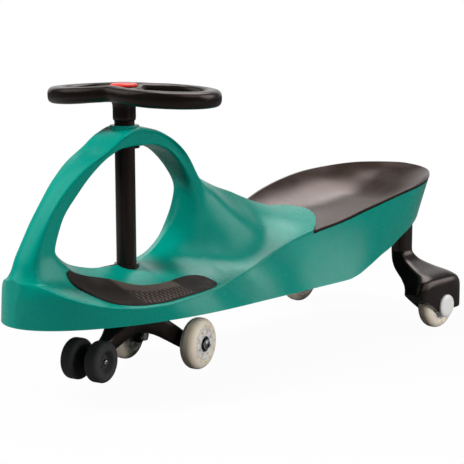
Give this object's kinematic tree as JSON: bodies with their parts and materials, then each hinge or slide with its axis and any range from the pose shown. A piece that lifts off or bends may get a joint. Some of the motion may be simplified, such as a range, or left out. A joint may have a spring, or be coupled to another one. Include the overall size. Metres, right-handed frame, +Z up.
{
  "type": "wiggle car",
  "caption": "Ride-on wiggle car: moulded body with an arch over the steering column, bucket seat, twisting steering wheel, castered front truck and rear wheels on booted legs.",
  "frame": {"origin": "on the floor under the middle of the car's box, wheels on z = 0", "axes": "+X to the nose, +Y to the car's left, +Z up; the steering is stored turned to the left, as pictured"},
  "size_m": [0.7886, 0.318, 0.388],
  "materials": {
    "body_green": "semi-gloss moulded",
    "seat_black": "fine matt grain",
    "pad_black": "satin with a tread",
    "bush_black": "satin",
    "cap_red": "gloss",
    "tyre_cream": "translucent satin",
    "core_white": "semi-gloss",
    "roller_black": "semi-gloss",
    "frame_black": "semi-gloss moulded",
    "steel": "bright"
  },
  "bodies": {
    "body": {"body_shell": "body_green", "seat": "seat_black", "foot_pad_left": "pad_black", "foot_pad_right": "pad_black", "upper_bush": "bush_black", "lower_bush": "bush_black", "rear_leg_left": "frame_black", "rear_axle_left": "steel", "rear_axle_cap_left": "core_white", "rear_leg_right": "frame_black", "rear_axle_right": "steel", "rear_axle_cap_right": "core_white", "leg_screws": "steel"},
    "steering": {"steering_column": "frame_black", "steering_wheel": "frame_black", "column_bolt": "steel", "column_washer": "steel", "hub_cap": "cap_red", "front_truck": "frame_black", "column_pin": "steel", "front_bolt_left": "steel", "front_bolt_right": "steel", "front_nuts": "steel", "stabiliser_axle": "steel"},
    "front_wheel_left": {"front_tyre_left": "tyre_cream", "front_hub_left": "core_white", "front_bearings_left": "steel"},
    "front_wheel_right": {"front_tyre_right": "tyre_cream", "front_hub_right": "core_white", "front_bearings_right": "steel"},
    "stabiliser_left": {"stabiliser_wheel_left": "roller_black"},
    "stabiliser_right": {"stabiliser_wheel_right": "roller_black"},
    "rear_wheel_left": {"rear_tyre_left": "tyre_cream", "rear_hub_left": "core_white", "rear_bearings_left": "steel"},
    "rear_wheel_right": {"rear_tyre_right": "tyre_cream", "rear_hub_right": "core_white", "rear_bearings_right": "steel"}
  },
  "joints": [
    {"name": "steering_turn", "type": "hinge", "parent": "body", "child": "steering", "pos_m": [0.2055, 0, 0.2], "axis": [0, 0, 1], "continuous": true},
    {"name": "front_wheel_left_spin", "type": "hinge", "parent": "steering", "child": "front_wheel_left", "pos_m": [0.11009, 0.03547, 0.035], "axis": [-0.2419, 0.9703, 0], "continuous": true},
    {"name": "front_wheel_right_spin", "type": "hinge", "parent": "steering", "child": "front_wheel_right", "pos_m": [0.13791, -0.07611, 0.035], "axis": [-0.2419, 0.9703, 0], "continuous": true},
    {"name": "stabiliser_left_spin", "type": "hinge", "parent": "steering", "child": "stabiliser_left", "pos_m": [0.2875, 0.039, 0.0455], "axis": [-0.2419, 0.9703, 0], "continuous": true},
    {"name": "stabiliser_right_spin", "type": "hinge", "parent": "steering", "child": "stabiliser_right", "pos_m": [0.29621, 0.00407, 0.0455], "axis": [-0.2419, 0.9703, 0], "continuous": true},
    {"name": "rear_wheel_left_spin", "type": "hinge", "parent": "body", "child": "rear_wheel_left", "pos_m": [-0.3015, 0.135, 0.035], "axis": [0, 1, 0], "continuous": true},
    {"name": "rear_wheel_right_spin", "type": "hinge", "parent": "body", "child": "rear_wheel_right", "pos_m": [-0.3015, -0.135, 0.035], "axis": [0, 1, 0], "continuous": true}
  ]
}
